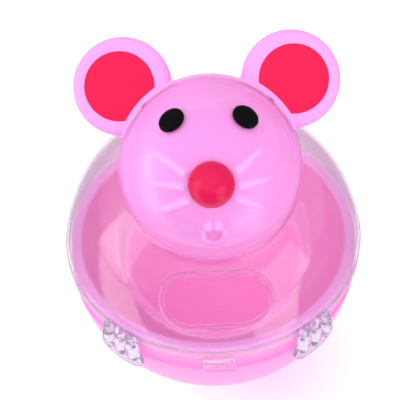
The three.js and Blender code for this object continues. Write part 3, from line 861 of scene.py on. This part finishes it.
def eye(label, material):
    rings = 14
    rise = EYE_RISE - EYE_EDGE + GAP
    dome = []
    for i in range(rings + 1):
        angle = math.pi / 2 * i / rings
        radius = 0.0 if i == rings else EYE_R * math.cos(angle) ** EYE_POWER
        dome.append((radius, HEAD_R + EYE_EDGE + rise * math.sin(angle)))
    profile = [(0.0, DOME_FOOT), (EYE_R, DOME_FOOT), *dome]
    button = turned(f"button_eye_{label}", profile, EYE_ROUND)
    cut(button, turned("head", arc(0, 0, EYE_SEAT_R, 180, 0, step=3), MIDDLE_ROUND))
    place = eye_frame(SIDES[label])
    inwards = place.inverted() @ FACE @ Vector((0, 0, 1))
    inwards.z = 0.0
    move(button, Matrix.Scale(EYE_OVAL, 4, inwards))
    join(button, rod("stem", EYE_STEM_R, EYE_STEM_END, HEAD_R + 0.6, 24))
    move(button, HEAD_AT @ place)
    return finish(button, [f"eye_{label}"], "cover", material)


TOE_POWER = 3.2                 # how blunt a toe's ends are


def toe(turn):
    """A toe with a waist, bent round the ball, upright in front, then turned about Z."""
    rows, sides = 40, 28
    verts, rings = [], []
    for i in range(rows + 1):
        share = math.sin(math.pi / 2 * (2 * i / rows - 1))
        along = TOE_LENGTH / 2 * share
        end = max(0.0, 1 - abs(share) ** TOE_POWER) ** 0.5
        waist = 1 - TOE_WAIST * math.exp(-((along - TOE_WAIST_AT) / TOE_WAIST_HALF) ** 2)
        radius = TOE_R * end * waist
        if i in (0, rows):
            rings.append([len(verts)] * sides)
            verts.append((0.0, along, 0.0))
            continue
        rings.append(list(range(len(verts), len(verts) + sides)))
        for k in range(sides):
            angle = 2 * math.pi * k / sides
            verts.append((radius * math.sin(angle), along, radius * math.cos(angle)))
    bent = []
    for x, along, out in verts:
        lift = along / TOE_PATH_R
        reach = TOE_PATH_R + out
        bent.append((x, -reach * math.cos(lift), reach * math.sin(lift)))
    obj = piece("toe", bent, skin(zip(rings, rings[1:]), sides))
    fix_normals(obj)
    return move(obj, Matrix.Rotation(math.radians(turn), 4, "Z"))


def pad(side):
    """The thin plate, bent round the ball, that joins a paw's toes."""
    plate = extruded("pad", stadium(PAD_WIDTH, PAD_HEIGHT), PAW_CLEARANCE_R - CUT_PAST,
                     PAD_OUTER_R + CUT_PAST)
    move(plate, facing(PAD_TILT, side * PAW_AZIMUTH))
    keep(plate, turned("outer", arc(0, 0, PAD_OUTER_R, 180, 0)))
    return rounded(plate, 0.35)


def paw(label, material):
    side = SIDES[label]
    toes = [toe(side * PAW_AZIMUTH + place * TOE_STEP) for place in (-1, 0, 1)]
    whole = join(*toes, pad(side))
    cut(whole, turned("clear", arc(0, 0, PAW_CLEARANCE_R, 180, 0)))
    cut(whole, rod("band", PAW_CLEARANCE_R, 0, FLANGE_TOP + GAP, ROUND))
    join(whole, bore(PEG_R, facing(PEG_TILT, side * PAW_AZIMUTH), BALL_R - COVER_WALL + GAP,
                     PAW_CLEARANCE_R + 1))
    whole.name = f"clear_paw_{label}"
    move(whole, BALL_AT)
    return finish(whole, [f"paw_{label}"], "cover", material)


BARB_INSET = 1
BARB_DEPTH = 0.8
BARB_Z = (-1.9, -0.7)
GRIP_R = 0.6
GRIP_HALF = TAB_WIDTH / 2 - 1.5
GRIP_Z = TAB_BOTTOM + 1.2


def latch(material):
    half = TAB_WIDTH / 2
    plate = box("snap_tab", (-half, TAB_OUTER_Y, TAB_BOTTOM), (half, TAB_INNER_Y, TAB_TOP))
    rounded(plate, 0.35, segments=4)
    barb = box("barb", (BARB_INSET - half, TAB_INNER_Y - 0.3, BARB_Z[0]),
               (half - BARB_INSET, -BASE_R + BARB_DEPTH, BARB_Z[1]))
    grip = turned("grip", [
        (0.0, -GRIP_HALF - GRIP_R),
        *arc(0, -GRIP_HALF, GRIP_R, 180, 90, step=15),
        *arc(0, GRIP_HALF, GRIP_R, 90, 0, step=15),
    ], BORE_ROUND)
    move(grip, Matrix.Rotation(math.pi / 2, 4, "Y"))
    move(grip, Matrix.Translation((0, TAB_OUTER_Y, GRIP_Z)))
    join(plate, barb, grip)
    move(plate, BALL_AT)
    return finish(plate, ["latch_tab"], "latch", material)


# A screw's profile, as shares of its radius and, along it, of its head's height or its pitch.
PAN_HEAD = ((0.0, 0.0), (0.62, 0.02), (0.85, 0.22), (0.97, 0.55), (1.0, 0.8), (0.96, 1.0))
THREAD = ((0.78, 0.0), (0.78, 0.3), (1.0, 0.55))
THREAD_START = 0.4
PITCH = 0.75                    # share of the radius
TIP = (0.8, 0.25)               # the radius where the point starts and where it ends
RECESS = (0.6, 0.13, 0.45)      # the cross's reach, half width and depth
# The pin's head: radius, and distance out from its inner face.
PIN_HEAD = ((2.0, 0.0), (2.0, 0.4), (1.9, 0.7), (1.5, 0.95), (0.0, 1.0))


def screw(name, node, place, body, material, radius, head_r, length):
    """A pan-head screw with a cross recess and a threaded shank, head at z 0."""
    height = SCREW_HEAD_HEIGHT
    pitch = radius * PITCH
    profile = [(head_r * r, height * z) for r, z in PAN_HEAD]
    profile.append((radius, height))
    start = height + pitch * THREAD_START
    while start < length - radius - pitch:
        profile += [(radius * r, start + pitch * z) for r, z in THREAD]
        start += pitch
    profile += [(radius * TIP[0], length - radius), (radius * TIP[1], length), (0.0, length)]
    shank = turned(name, profile, SMALL_ROUND)
    reach, width, depth = head_r * RECESS[0], head_r * RECESS[1], height * RECESS[2]
    cross = box("slot", (-reach, -width, -1), (reach, width, depth))
    join(cross, box("slot", (-width, -reach, -1), (width, reach, depth)))
    cut(shank, cross)
    move(shank, place)
    return finish(shank, [node], body, material)


def pin(material):
    end = LUG_OUTER_X + GAP
    profile = [
        *[(r, -end - z) for r, z in reversed(PIN_HEAD)],
        (PIN_R, -end),
        (PIN_R, end),
        *[(r, end + z) for r, z in PIN_HEAD],
    ]
    rivet = move(turned("cover_pin", profile, SMALL_ROUND), BALL_AT @ HINGE_AT)
    return finish(rivet, ["hinge_pin"], "base", material)


# ---- Materials ----

def add_node(tree, kind, inputs, **settings):
    """Adds a node with its settings, and links its inputs to sockets or sets them to values."""
    node = tree.nodes.new(kind)
    for key, value in settings.items():
        setattr(node, key, value)
    for key, value in inputs.items():
        if isinstance(value, bpy.types.NodeSocket):
            tree.links.new(value, node.inputs[key])
        else:
            node.inputs[key].default_value = value
    return node


class Nodes:
    """Short names for building a material's node tree."""

    def __init__(self, name):
        self.material = bpy.data.materials.new(name)
        self.material.use_nodes = True
        self.tree = self.material.node_tree
        self.tree.nodes.clear()
        self.place = self.add("ShaderNodeTexCoord", {}).outputs["Object"]

    def add(self, kind, inputs, **settings):
        return add_node(self.tree, kind, inputs, **settings)

    def noise(self, scale, detail=3.0, roughness=0.55, distortion=0.0, stretch=(1, 1, 1)):
        mapping = self.add("ShaderNodeMapping", {"Vector": self.place, "Scale": stretch})
        return self.add("ShaderNodeTexNoise", {
            "Vector": mapping.outputs["Vector"],
            "Scale": scale,
            "Detail": detail,
            "Roughness": roughness,
            "Distortion": distortion,
        }).outputs["Fac"]

    def ramp(self, source, low, high, start=0.0, end=1.0):
        return self.add("ShaderNodeMapRange", {
            "Value": source,
            "From Min": start,
            "From Max": end,
            "To Min": low,
            "To Max": high,
        }).outputs["Result"]

    def blend(self, factor, first, second):
        """Mixes two colours, of which the first can be a socket."""
        if not isinstance(first, bpy.types.NodeSocket):
            first = (*first, 1)
        mix = self.add("ShaderNodeMix", {0: factor, 6: first, 7: (*second, 1)}, data_type="RGBA")
        return mix.outputs[2]

    def maths(self, operation, first, second):
        return self.add("ShaderNodeMath", {0: first, 1: second}, operation=operation).outputs[0]

    def distance(self, centre):
        ends = {0: self.place, 1: centre}
        return self.add("ShaderNodeVectorMath", ends, operation="DISTANCE").outputs["Value"]

    def bump(self, height, strength, distance):
        inputs = {"Height": height, "Strength": strength, "Distance": distance}
        return self.add("ShaderNodeBump", inputs).outputs["Normal"]

    def principled(self, **values):
        inputs = {key.replace("_", " "): value for key, value in values.items()}
        return self.add("ShaderNodeBsdfPrincipled", inputs)

    def mixed(self, factor, first, second):
        inputs = {0: factor, 1: first.outputs[0], 2: second.outputs[0]}
        return self.add("ShaderNodeMixShader", inputs)

    def done(self, shader):
        self.add("ShaderNodeOutputMaterial", {"Surface": shader.outputs[0]})
        return self.material


PLASTIC_IOR = 1.49
NOISE_MIDDLE = (0.3, 0.7)       # where most of a noise's values lie
SATIN = (0.27, 0.34)            # least and greatest roughness
MATT = (0.5, 0.6)
DULL = (0.3, 0.4)
GLOSSY = (0.16, 0.24)
RIM_HIGHLIGHT_HEIGHTS = (0.0455, 0.0470)  # between which the bowl's top edge turns lighter: a painted highlight where light from above falls
RIDGE_HIGHLIGHT_RELIEF = (0.05, 0.5)            # relief in millimetres over which the painted highlight on ridges comes in
# relief in millimetres over which the painted shade in hollows comes in
HOLLOW_SHADE_RELIEF = (-0.4, -0.1)


def moulded(name, colour, deep, rough, shine, rim=None, ridge_highlight=None, hollow_shade=None):
    """Pigmented moulding: faint flow clouds, fine satin grain and small handling scratches. The
    bowl's top edge can take a painted highlight, and the face's relief a painted highlight on
    its ridges and painted shade in its hollows."""
    n = Nodes(name)
    clouds = n.noise(45.0, 4.0, 0.6, 0.6)
    tone = n.blend(n.ramp(clouds, 0.0, 1.0, *NOISE_MIDDLE), deep, colour)
    # painted highlight: the bowl's top edge is made lighter where light from above falls on it
    if rim:
        height = n.add("ShaderNodeSeparateXYZ", {0: n.place}).outputs["Z"]
        tone = n.blend(n.ramp(height, 0.0, 1.0, *RIM_HIGHLIGHT_HEIGHTS), tone, rim)
    # painted highlight on the ridges of the face's relief, and painted shade in its hollows
    if ridge_highlight:
        height = n.add("ShaderNodeAttribute", {}, attribute_name="relief").outputs["Fac"]
        tone = n.blend(n.ramp(height, 0.0, 1.0, *RIDGE_HIGHLIGHT_RELIEF), tone, ridge_highlight)
        tone = n.blend(n.ramp(height, 1.0, 0.0, *HOLLOW_SHADE_RELIEF), tone, hollow_shade)
    grain = n.noise(2600.0, 2.0)
    scratches = n.noise(320.0, 5.0, 0.7, 0.8)
    waves = n.maths("ADD", n.maths("MULTIPLY", grain, 0.5), n.maths("MULTIPLY", clouds, 0.5))
    shader = n.principled(
        Base_Color=tone,
        Roughness=n.ramp(scratches, *rough, 0.35, 0.7),
        Normal=n.bump(waves, 0.08, 0.00004),
        IOR=PLASTIC_IOR,
        Specular_IOR_Level=shine,
    )
    return n.done(shader)


FROSTING = 0.16                 # roughness added round the head
HEAD_STRAIGHT_SHARE = 0.88      # of light that passes without bending, round the head
HEAD_CENTRE = (0.0, -HEAD_LEAN * MM, (BALL_Z + HEAD_RISE) * MM)
HEAD_LIMITS = (0.0268, 0.0285)  # distances over which the head's look gives way to the ball's
HEAD_EDGE_SHARE = 0.3
EDGE_POWER = 3.0
EDGE_GLOW = 0.85
EDGE_GLOW_POWER = 2.2
EDGE_COLOUR = (0.97, 0.365, 0.79, 1)
OUTLINE = (0.74, 0.86)          # how edge-on the wall is where the glow gives way to a thin line
OUTLINE_SHARE = 0.55


def glass(name, colour, edge, shade, straight):
    """Clear moulding that bends light, but for a share that goes straight on; lamps and soft
    light reach what is inside it. Round the head, where the wall lies on the pink liner, the
    edge takes the liner's colour."""
    n = Nodes(name)
    flow = n.noise(70.0, 3.0, 0.5, 0.6)
    head = n.ramp(n.distance(HEAD_CENTRE), 1.0, 0.0, *HEAD_LIMITS)
    edge_on = n.add("ShaderNodeLayerWeight", {"Blend": 0.5}).outputs["Facing"]
    depth = n.maths("POWER", edge_on, EDGE_POWER)
    depth = n.maths("MULTIPLY", depth, n.ramp(head, 1.0, HEAD_EDGE_SHARE))
    frost = n.maths("MULTIPLY", head, FROSTING)
    clear = n.principled(
        Base_Color=n.blend(depth, colour, edge),
        Roughness=n.maths("ADD", n.ramp(flow, 0.0, 0.03, *NOISE_MIDDLE), frost),
        Normal=n.bump(flow, 0.05, 0.0002),
        IOR=PLASTIC_IOR,
        Transmission_Weight=1.0,
    )
    open_air = n.add("ShaderNodeBsdfTransparent", {"Color": (*shade, 1)})
    path = n.add("ShaderNodeLightPath", {}).outputs
    soft = n.maths("MAXIMUM", path["Is Shadow Ray"], path["Is Diffuse Ray"])
    soft = n.maths("MAXIMUM", soft, n.ramp(head, straight, HEAD_STRAIGHT_SHARE))
    tinted = n.add("ShaderNodeBsdfDiffuse", {"Color": EDGE_COLOUR})
    glow = n.maths("MULTIPLY", n.maths("POWER", edge_on, EDGE_GLOW_POWER), head)
    line = n.ramp(edge_on, EDGE_GLOW, EDGE_GLOW * OUTLINE_SHARE, *OUTLINE)
    glow = n.maths("MULTIPLY", glow, line)
    return n.done(n.mixed(glow, n.mixed(soft, clear, open_air), tinted))


def metal(name, dark, light):
    """Zinc-plated steel: fine brushing along the piece and dull clouds."""
    n = Nodes(name)
    brushed = n.noise(900.0, 4.0, 0.6, 0.2, stretch=(1.0, 1.0, 0.08))
    shader = n.principled(
        Base_Color=n.blend(n.noise(120.0), dark, light),
        Metallic=1.0,
        Roughness=n.ramp(brushed, 0.28, 0.45, *NOISE_MIDDLE),
        Normal=n.bump(brushed, 0.15, 0.00003),
    )
    return n.done(shader)


def cast(name, dark, light):
    """Rough cast iron with small pits."""
    n = Nodes(name)
    pits = n.noise(260.0, 6.0, 0.7)
    shader = n.principled(
        Base_Color=n.blend(pits, dark, light),
        Metallic=0.7,
        Roughness=n.ramp(pits, 0.55, 0.8, *NOISE_MIDDLE),
        Normal=n.bump(pits, 0.6, 0.0003),
    )
    return n.done(shader)


# ---- Floor, light, camera ----

ELEVATION = 52.3
AZIMUTH = -0.2
ROLL = 2.4
DISTANCE = 544.0
LENS = 155.8
BALL_OFFSET = (4.2, -13.1)     # where the ball's centre lies from the picture's middle, in mm


def make_camera():
    data = bpy.data.cameras.new("camera")
    data.lens = LENS
    data.sensor_width = 36.0
    data.clip_start = 0.01
    data.clip_end = 10.0
    camera = bpy.data.objects.new("camera", data)
    bpy.context.collection.objects.link(camera)
    elevation, azimuth = math.radians(ELEVATION), math.radians(AZIMUTH)
    back = Vector((
        math.sin(azimuth) * math.cos(elevation),
        -math.cos(azimuth) * math.cos(elevation),
        math.sin(elevation),
    ))
    right = Vector((math.cos(azimuth), math.sin(azimuth), 0.0))
    up = back.cross(right)
    turn = Matrix.Rotation(math.radians(-ROLL), 3, back)
    right, up = turn @ right, turn @ up
    centre = Vector((0.0, 0.0, BALL_Z))
    place = centre + back * DISTANCE
    aim = centre - right * BALL_OFFSET[0] - up * BALL_OFFSET[1]
    sight = (place - aim).normalized()
    right = (right - sight * right.dot(sight)).normalized()
    up = sight.cross(right)
    camera.matrix_world = Matrix((
        (right.x, up.x, sight.x, place.x * MM),
        (right.y, up.y, sight.y, place.y * MM),
        (right.z, up.z, sight.z, place.z * MM),
        (0, 0, 0, 1),
    ))
    bpy.context.scene.camera = camera


TABLE = ((-3, -3), (3, -3), (3, 3), (-3, 3))
TABLE_GREYS = ((0.30, 0.29, 0.33), (0.34, 0.33, 0.37))
BOARD = ((-0.070, -0.09), (0.070, -0.09), (0.088, 0.17), (-0.088, 0.17))
BOARD_GREYS = ((0.30, 0.30, 0.305), (0.32, 0.32, 0.325))
BOARD_LIGHT = 0.74
GLOW_AT = (0.018, -0.020, 0.0)  # where light that has passed through the pink base falls
GLOW_R = 0.031
GLOW_COLOUR = (1.0, 0.66, 0.96)
CARD_GREYS = ((0.5, 0.5, 0.5), (0.55, 0.55, 0.55))
WHITE_CARDS = {
    "right_card": ((0.045, -0.115), (0.083, -0.079), (0.45, -0.28), (0.16, -0.42)),
    "left_card": ((-0.118, -0.039), (-0.077, -0.091), (-0.41, -0.257), (-0.55, 0.02)),
}


def staged(name, corners, height, grain, greys, rough, light=0.0, glow=None):
    """A flat painted sheet of the stage, which can give light, tinted round GLOW_AT."""
    n = Nodes(name)
    light_colour = (1, 1, 1, 1)
    if glow:
        near = n.ramp(n.distance(GLOW_AT), 1.0, 0.0, 0.0, GLOW_R)
        light_colour = n.blend(near, (1, 1, 1), glow)
    shader = n.principled(
        Base_Color=n.blend(n.noise(*grain), *greys),
        Roughness=rough,
        Emission_Color=light_colour,
        Emission_Strength=light,
    )
    sheet = piece(name, [(x, y, height) for x, y in corners], [(0, 1, 2, 3)])
    sheet.data.materials.append(n.done(shader))


def make_floor():
    staged("table", TABLE, -0.002, (9.0, 2.0), TABLE_GREYS, 0.7)
    staged("white_board", BOARD, 0.0, (6.0, 2.0), BOARD_GREYS, 0.6, BOARD_LIGHT, GLOW_COLOUR)
    for name, corners in WHITE_CARDS.items():
        staged(name, corners, -0.001, (8.0, 3.0), CARD_GREYS, 0.6, 1.0)


# Name, degrees from the front, width, height, lean in degrees, brightness.
SOFT_BOXES = (
    ("right_box", 48, 0.46, 0.27, 8, 1.9),
    ("left_box", -80, 0.33, 0.44, 0, 1.7),
)
BOX_DISTANCE = 0.55
BOX_CLEARANCE = 0.005
BRIGHT_SIDE = (-0.3, -0.45, 0.84)       # where the room is brightest
ROOM_TURN = -0.1                        # where, towards that side, it starts to brighten
ROOM_DARK = 0.8
ROOM_BRIGHT = 1.45
ROOM_HUES = ((0.92, 0.90, 1.0, 1), (1.0, 1.0, 1.0, 1))


def make_room():
    """Light from all round, brighter and whiter on one side."""
    world = bpy.data.worlds.new("room")
    bpy.context.scene.world = world
    world.use_nodes = True
    tree = world.node_tree
    place = add_node(tree, "ShaderNodeTexCoord", {}).outputs["Generated"]
    ends = {0: place, 1: Vector(BRIGHT_SIDE).normalized()}
    side = add_node(tree, "ShaderNodeVectorMath", ends, operation="DOT_PRODUCT").outputs["Value"]
    glow = add_node(tree, "ShaderNodeMapRange", {
        "Value": side,
        "From Min": ROOM_TURN,
        "To Min": ROOM_DARK,
        "To Max": ROOM_BRIGHT,
    }, interpolation_type="SMOOTHSTEP")
    hues = {0: side, 6: ROOM_HUES[0], 7: ROOM_HUES[1]}
    hue = add_node(tree, "ShaderNodeMix", hues, data_type="RGBA")
    background = tree.nodes["Background"]
    tree.links.new(glow.outputs["Result"], background.inputs["Strength"])
    tree.links.new(hue.outputs[2], background.inputs["Color"])


def make_soft_box(name, azimuth, width, height, lean, brightness):
    """An upright lamp round the part, facing it, that stands just above the table."""
    data = bpy.data.lights.new(name, "AREA")
    data.shape = "RECTANGLE"
    data.size = width
    data.size_y = height
    data.energy = brightness * math.pi * width * height
    across = math.radians(azimuth)
    outwards = Vector((math.sin(across), -math.cos(across), 0.0))
    lamp = bpy.data.objects.new(name, data)
    lamp.location = outwards * BOX_DISTANCE + Vector((0, 0, height / 2 + BOX_CLEARANCE))
    lamp.rotation_euler = outwards.to_track_quat("Z", "Y").to_euler()
    lamp.rotation_euler.rotate_axis("Z", math.radians(lean))
    bpy.context.collection.objects.link(lamp)


# ---- Build ----

make_camera()
make_floor()
make_room()
for soft_box in SOFT_BOXES:
    make_soft_box(*soft_box)
bpy.context.scene.view_settings.view_transform = "Standard"

pink_base = moulded("pink_base_plastic", (0.95, 0.295, 0.67), (0.94, 0.28, 0.65), SATIN, 0.5)
# the bowl's top edge gets a painted highlight
pink_bowl = moulded("pink_bowl_plastic", (0.98, 0.275, 0.66), (0.97, 0.26, 0.64), SATIN, 0.5,
                    rim=(1.0, 0.43, 0.88))
pink_ear = moulded("pink_head_plastic", (0.97, 0.365, 0.79), (0.96, 0.35, 0.77), MATT, 0.2)
# the liner gets a painted highlight on the ridges of its relief and painted shade in its hollows
pink_liner = moulded("pink_liner_plastic", (0.97, 0.41, 0.83), (0.96, 0.395, 0.81), MATT, 0.2,
                     ridge_highlight=(1.0, 0.52, 0.95), hollow_shade=(0.90, 0.27, 0.64))
red = moulded("red_plastic", (0.80, 0.006, 0.075), (0.75, 0.005, 0.065), GLOSSY, 0.18)
nose_red = moulded("red_nose_plastic", (0.70, 0.006, 0.08), (0.65, 0.005, 0.07), GLOSSY, 0.18)
black = moulded("black_plastic", (0.003, 0.003, 0.0035), (0.002, 0.002, 0.0025), DULL, 0.04)
clear_plastic = glass("clear_plastic", (0.97, 0.96, 0.985), (0.46, 0.28, 0.50),
                      (0.97, 0.95, 0.975), straight=0.32)
paw_plastic = glass("clear_paw_plastic", (0.87, 0.85, 0.94), (0.12, 0.09, 0.24),
                    (0.87, 0.84, 0.93), straight=0.1)
steel = metal("zinc_steel", (0.527, 0.5355, 0.5525), (0.62, 0.63, 0.65))
iron = cast("cast_iron", (0.09, 0.09, 0.095), (0.2, 0.195, 0.19))

base(pink_base)
bowl(pink_bowl)
clear_cover(clear_plastic)
head_liner(pink_liner)
latch(clear_plastic)
nose(nose_red)
nose_clip(steel)
pin(steel)
for label, sign in SIDES.items():
    paw(label, paw_plastic)
    ear(label, pink_ear)
    ear_insert(label, red)
    eye(label, black)
    screw(f"ear_fixing_{label}", f"ear_screw_{label}",
          HEAD_AT @ ear_screw_frame(sign) @ Matrix.Translation((0, 0, EAR_SCREW_HEAD_AT)),
          "cover", steel, EAR_SCREW_R, EAR_SCREW_HEAD_R, EAR_SCREW_TIP - EAR_SCREW_HEAD_AT)
for number, (x, y) in enumerate(screw_places(), 1):
    screw(f"base_fixing_{number}", f"base_screw_{number}", Matrix.Translation((x, y, GAP)),
          "base", steel, SCREW_R, SCREW_HEAD_R, SCREW_LENGTH)

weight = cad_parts["counterweight"]
weight.data.materials.clear()
weight.data.materials.append(iron)
